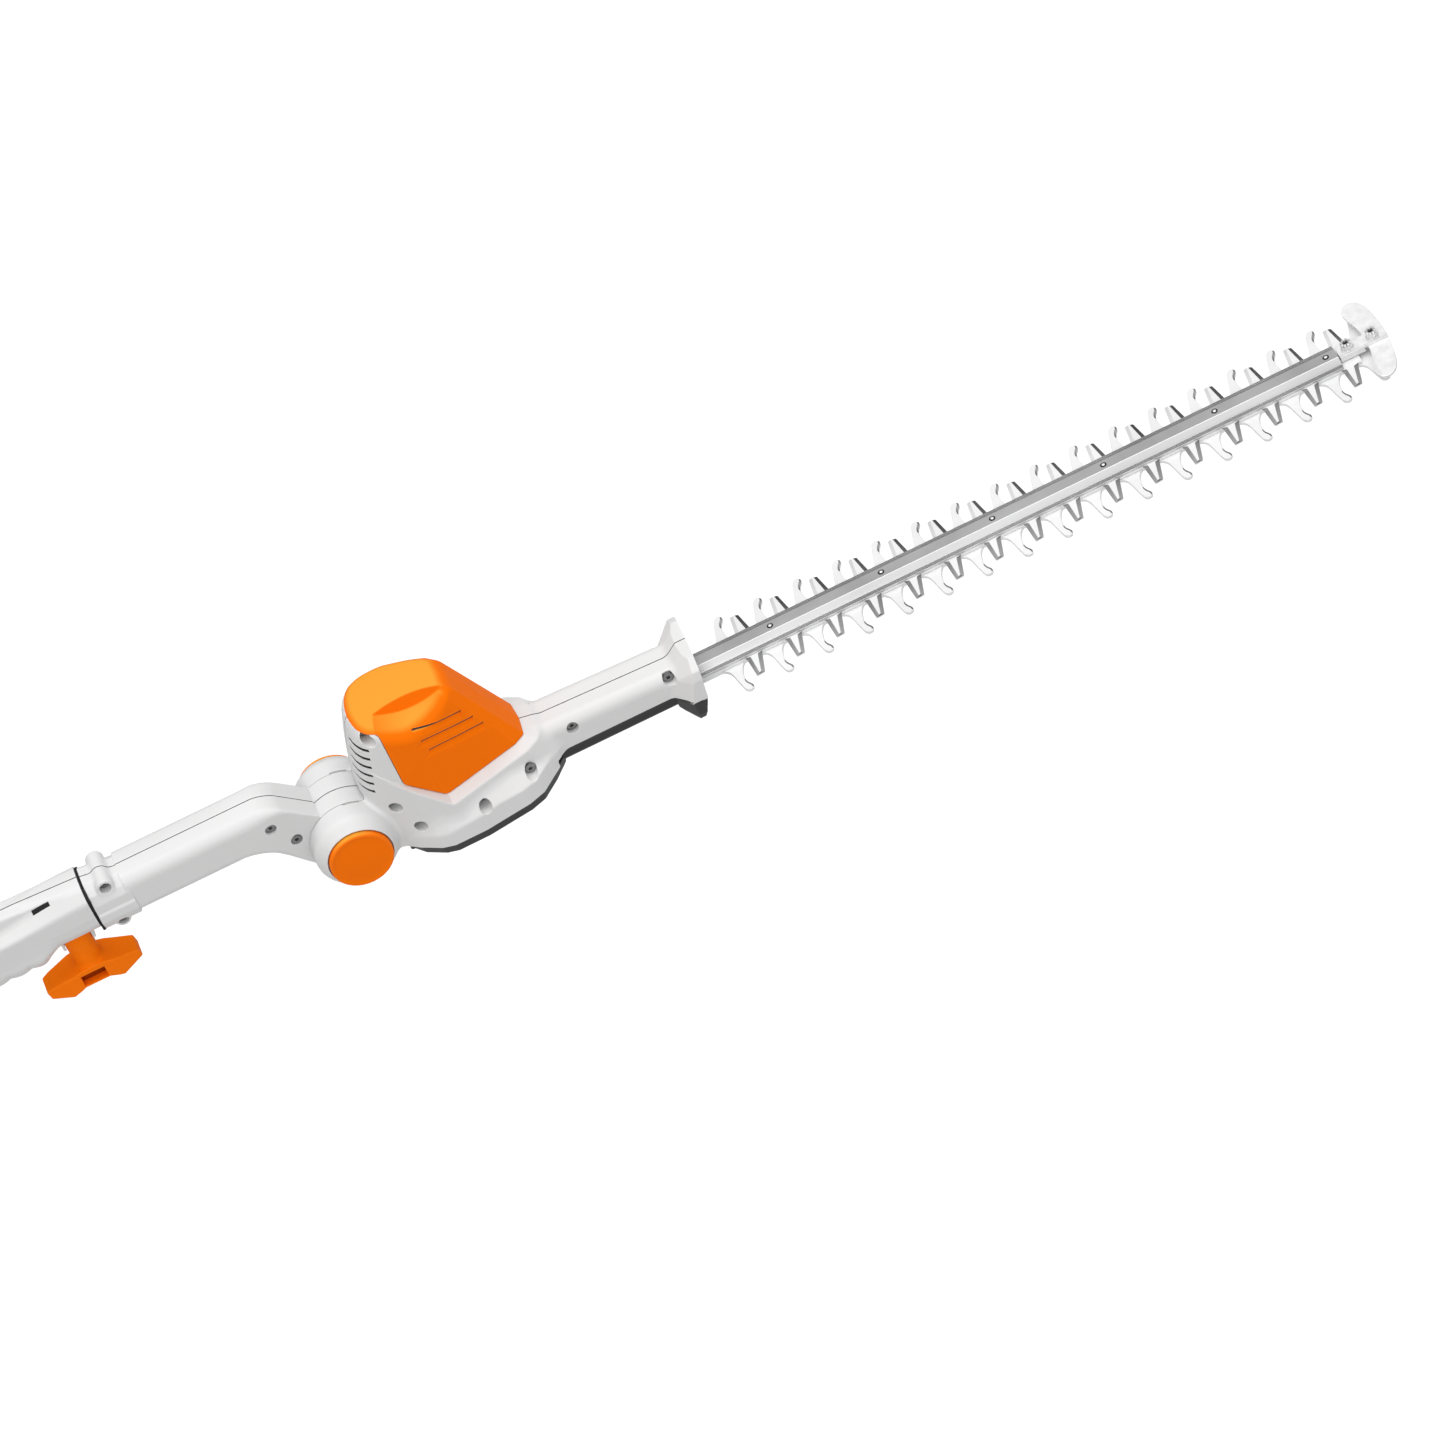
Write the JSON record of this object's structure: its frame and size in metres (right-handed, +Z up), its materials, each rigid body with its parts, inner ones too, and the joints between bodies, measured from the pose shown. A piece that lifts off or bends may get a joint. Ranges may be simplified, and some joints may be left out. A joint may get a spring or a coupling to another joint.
{
  "type": "pole hedge trimmer",
  "caption": "Long-reach hedge trimmer: battery handle, split tubular shaft with a clamp knob, tilting motor head and a double-sided reciprocating toothed blade.",
  "frame": {"origin": "centre of the rear end face of the handle, on the shaft axis", "axes": "+X along the shaft towards the blade tip, +Z up away from the battery sole, +Y to the user's left"},
  "size_m": [2.1, 0.101, 0.1316],
  "materials": {
    "light_shell": "satin fine-textured light grey moulding",
    "orange_plastic": "semi-gloss orange moulding",
    "black_plastic": "matte near-black glass-filled moulding",
    "foam": "soft black closed-cell foam",
    "seal_rubber": "matte black rubber",
    "tube_aluminium": "drawn and anodised aluminium tube",
    "rail_aluminium": "extruded mill-finish aluminium bar",
    "blade_steel": "bright ground blade steel",
    "guard_steel": "zinc-plated sheet steel",
    "hardware_steel": "plain zinc-plated steel",
    "screw_black": "black-oxide screws",
    "spring_steel": "drawn spring wire",
    "cast_alloy": "die-cast alloy",
    "gear_steel": "case-hardened steel, light grease",
    "circuit_board": "green solder mask",
    "cell_wrap": "heat-shrink sleeve over steel cells"
  },
  "bodies": {
    "rear_unit": {"rear_housing_left": "light_shell", "rear_housing_right": "light_shell", "rear_housing_screws": "screw_black", "trigger_pin": "hardware_steel", "trigger_spring": "spring_steel", "lockout_pin": "hardware_steel", "switch_module": "black_plastic", "control_board": "circuit_board", "terminal_block": "black_plastic", "foam_grip": "foam", "strap_eye": "black_plastic", "strap_eye_screw": "hardware_steel", "shaft_tube": "tube_aluminium", "shaft_cable": "seal_rubber", "socket_shell_left": "light_shell", "socket_shell_right": "light_shell", "socket_screws": "screw_black", "socket_connector": "black_plastic", "clamp_nut": "hardware_steel", "knob_stud": "hardware_steel", "joint_seal": "seal_rubber"},
    "trigger": {"trigger": "black_plastic"},
    "lockout": {"lockout_lever": "black_plastic"},
    "battery": {"battery_case": "black_plastic", "battery_cells": "cell_wrap"},
    "latch": {"battery_latch": "orange_plastic"},
    "washer": {"knob_washer": "hardware_steel"},
    "knob": {"wing_knob": "orange_plastic"},
    "boom": {"spigot_tube": "tube_aluminium", "spigot_plug": "black_plastic", "arm_shell_left": "light_shell", "arm_shell_right": "light_shell", "arm_screws": "screw_black", "arm_cable": "seal_rubber", "pivot_pin": "hardware_steel", "pivot_clips": "spring_steel", "detent_rings": "gear_steel"},
    "head": {"pivot_bushes": "cast_alloy", "head_shell_left": "light_shell", "head_shell_right": "light_shell", "motor_cover": "orange_plastic", "base_cover": "black_plastic", "head_screws": "screw_black", "motor_can": "hardware_steel", "motor_bearings": "gear_steel", "gear_plate": "cast_alloy", "gear_axle": "gear_steel", "blade_mount_block": "cast_alloy", "blade_bolts": "hardware_steel", "guide_rail": "rail_aluminium", "comb_blade": "blade_steel", "tip_guard": "guard_steel", "tip_guard_bolts": "hardware_steel", "button_springs": "spring_steel"},
    "rotor": {"motor_rotor": "gear_steel", "cooling_fan": "black_plastic"},
    "crank": {"crank_gear": "gear_steel"},
    "cutter": {"cutter_blade": "blade_steel"},
    "button_left": {"release_button_left": "orange_plastic"},
    "button_right": {"release_button_right": "orange_plastic"}
  },
  "joints": [
    {"name": "trigger_squeeze", "type": "hinge", "parent": "rear_unit", "child": "trigger", "pos_m": [0.27, 0, -0.014], "axis": [0, 1, 0], "range_deg": [0, 8], "deforming": ["trigger_spring"]},
    {"name": "lockout_press", "type": "hinge", "parent": "rear_unit", "child": "lockout", "pos_m": [0.216, 0, 0.0145], "axis": [0, -1, 0], "range_deg": [0, 5]},
    {"name": "battery_slide", "type": "slide", "parent": "rear_unit", "child": "battery", "axis": [0, 0, -1], "range_m": [0, 0.06]},
    {"name": "latch_press", "type": "slide", "parent": "battery", "child": "latch", "axis": [1, 0, 0], "range_m": [0, 0.002]},
    {"name": "knob_advance", "type": "slide", "parent": "rear_unit", "child": "washer", "axis": [0, 0, -1], "range_m": [0, 0.0031]},
    {"name": "knob_turn", "type": "hinge", "parent": "washer", "child": "knob", "pos_m": [1.119, 0, -0.045], "axis": [0, 0, -1], "range_deg": [0, 720]},
    {"name": "boom_slide", "type": "slide", "parent": "rear_unit", "child": "boom", "axis": [1, 0, 0], "range_m": [0, 0.075]},
    {"name": "head_tilt", "type": "hinge", "parent": "boom", "child": "head", "pos_m": [1.318, 0, -0.037], "axis": [0, 1, 0], "range_deg": [-45, 90]},
    {"name": "motor_spin", "type": "hinge", "parent": "head", "child": "rotor", "pos_m": [1.391, 0, 0], "axis": [0, 0, 1], "continuous": true},
    {"name": "crank_spin", "type": "hinge", "parent": "head", "child": "crank", "pos_m": [1.426, 0, -0.037], "axis": [0, 0, 1], "continuous": true},
    {"name": "cutter_stroke", "type": "slide", "parent": "head", "child": "cutter", "axis": [1, 0, 0], "range_m": [-0.01, 0.01]},
    {"name": "release_left", "type": "slide", "parent": "head", "child": "button_left", "axis": [0, -1, 0], "range_m": [0, 0.003]},
    {"name": "release_right", "type": "slide", "parent": "head", "child": "button_right", "axis": [0, 1, 0], "range_m": [0, 0.003]}
  ],
  "couplings": [
    {"joint": "motor_spin", "follows": "crank_spin", "ratio": -3.6667},
    {"joint": "knob_advance", "follows": "knob_turn", "m_per_rad": 0.00023873}
  ]
}
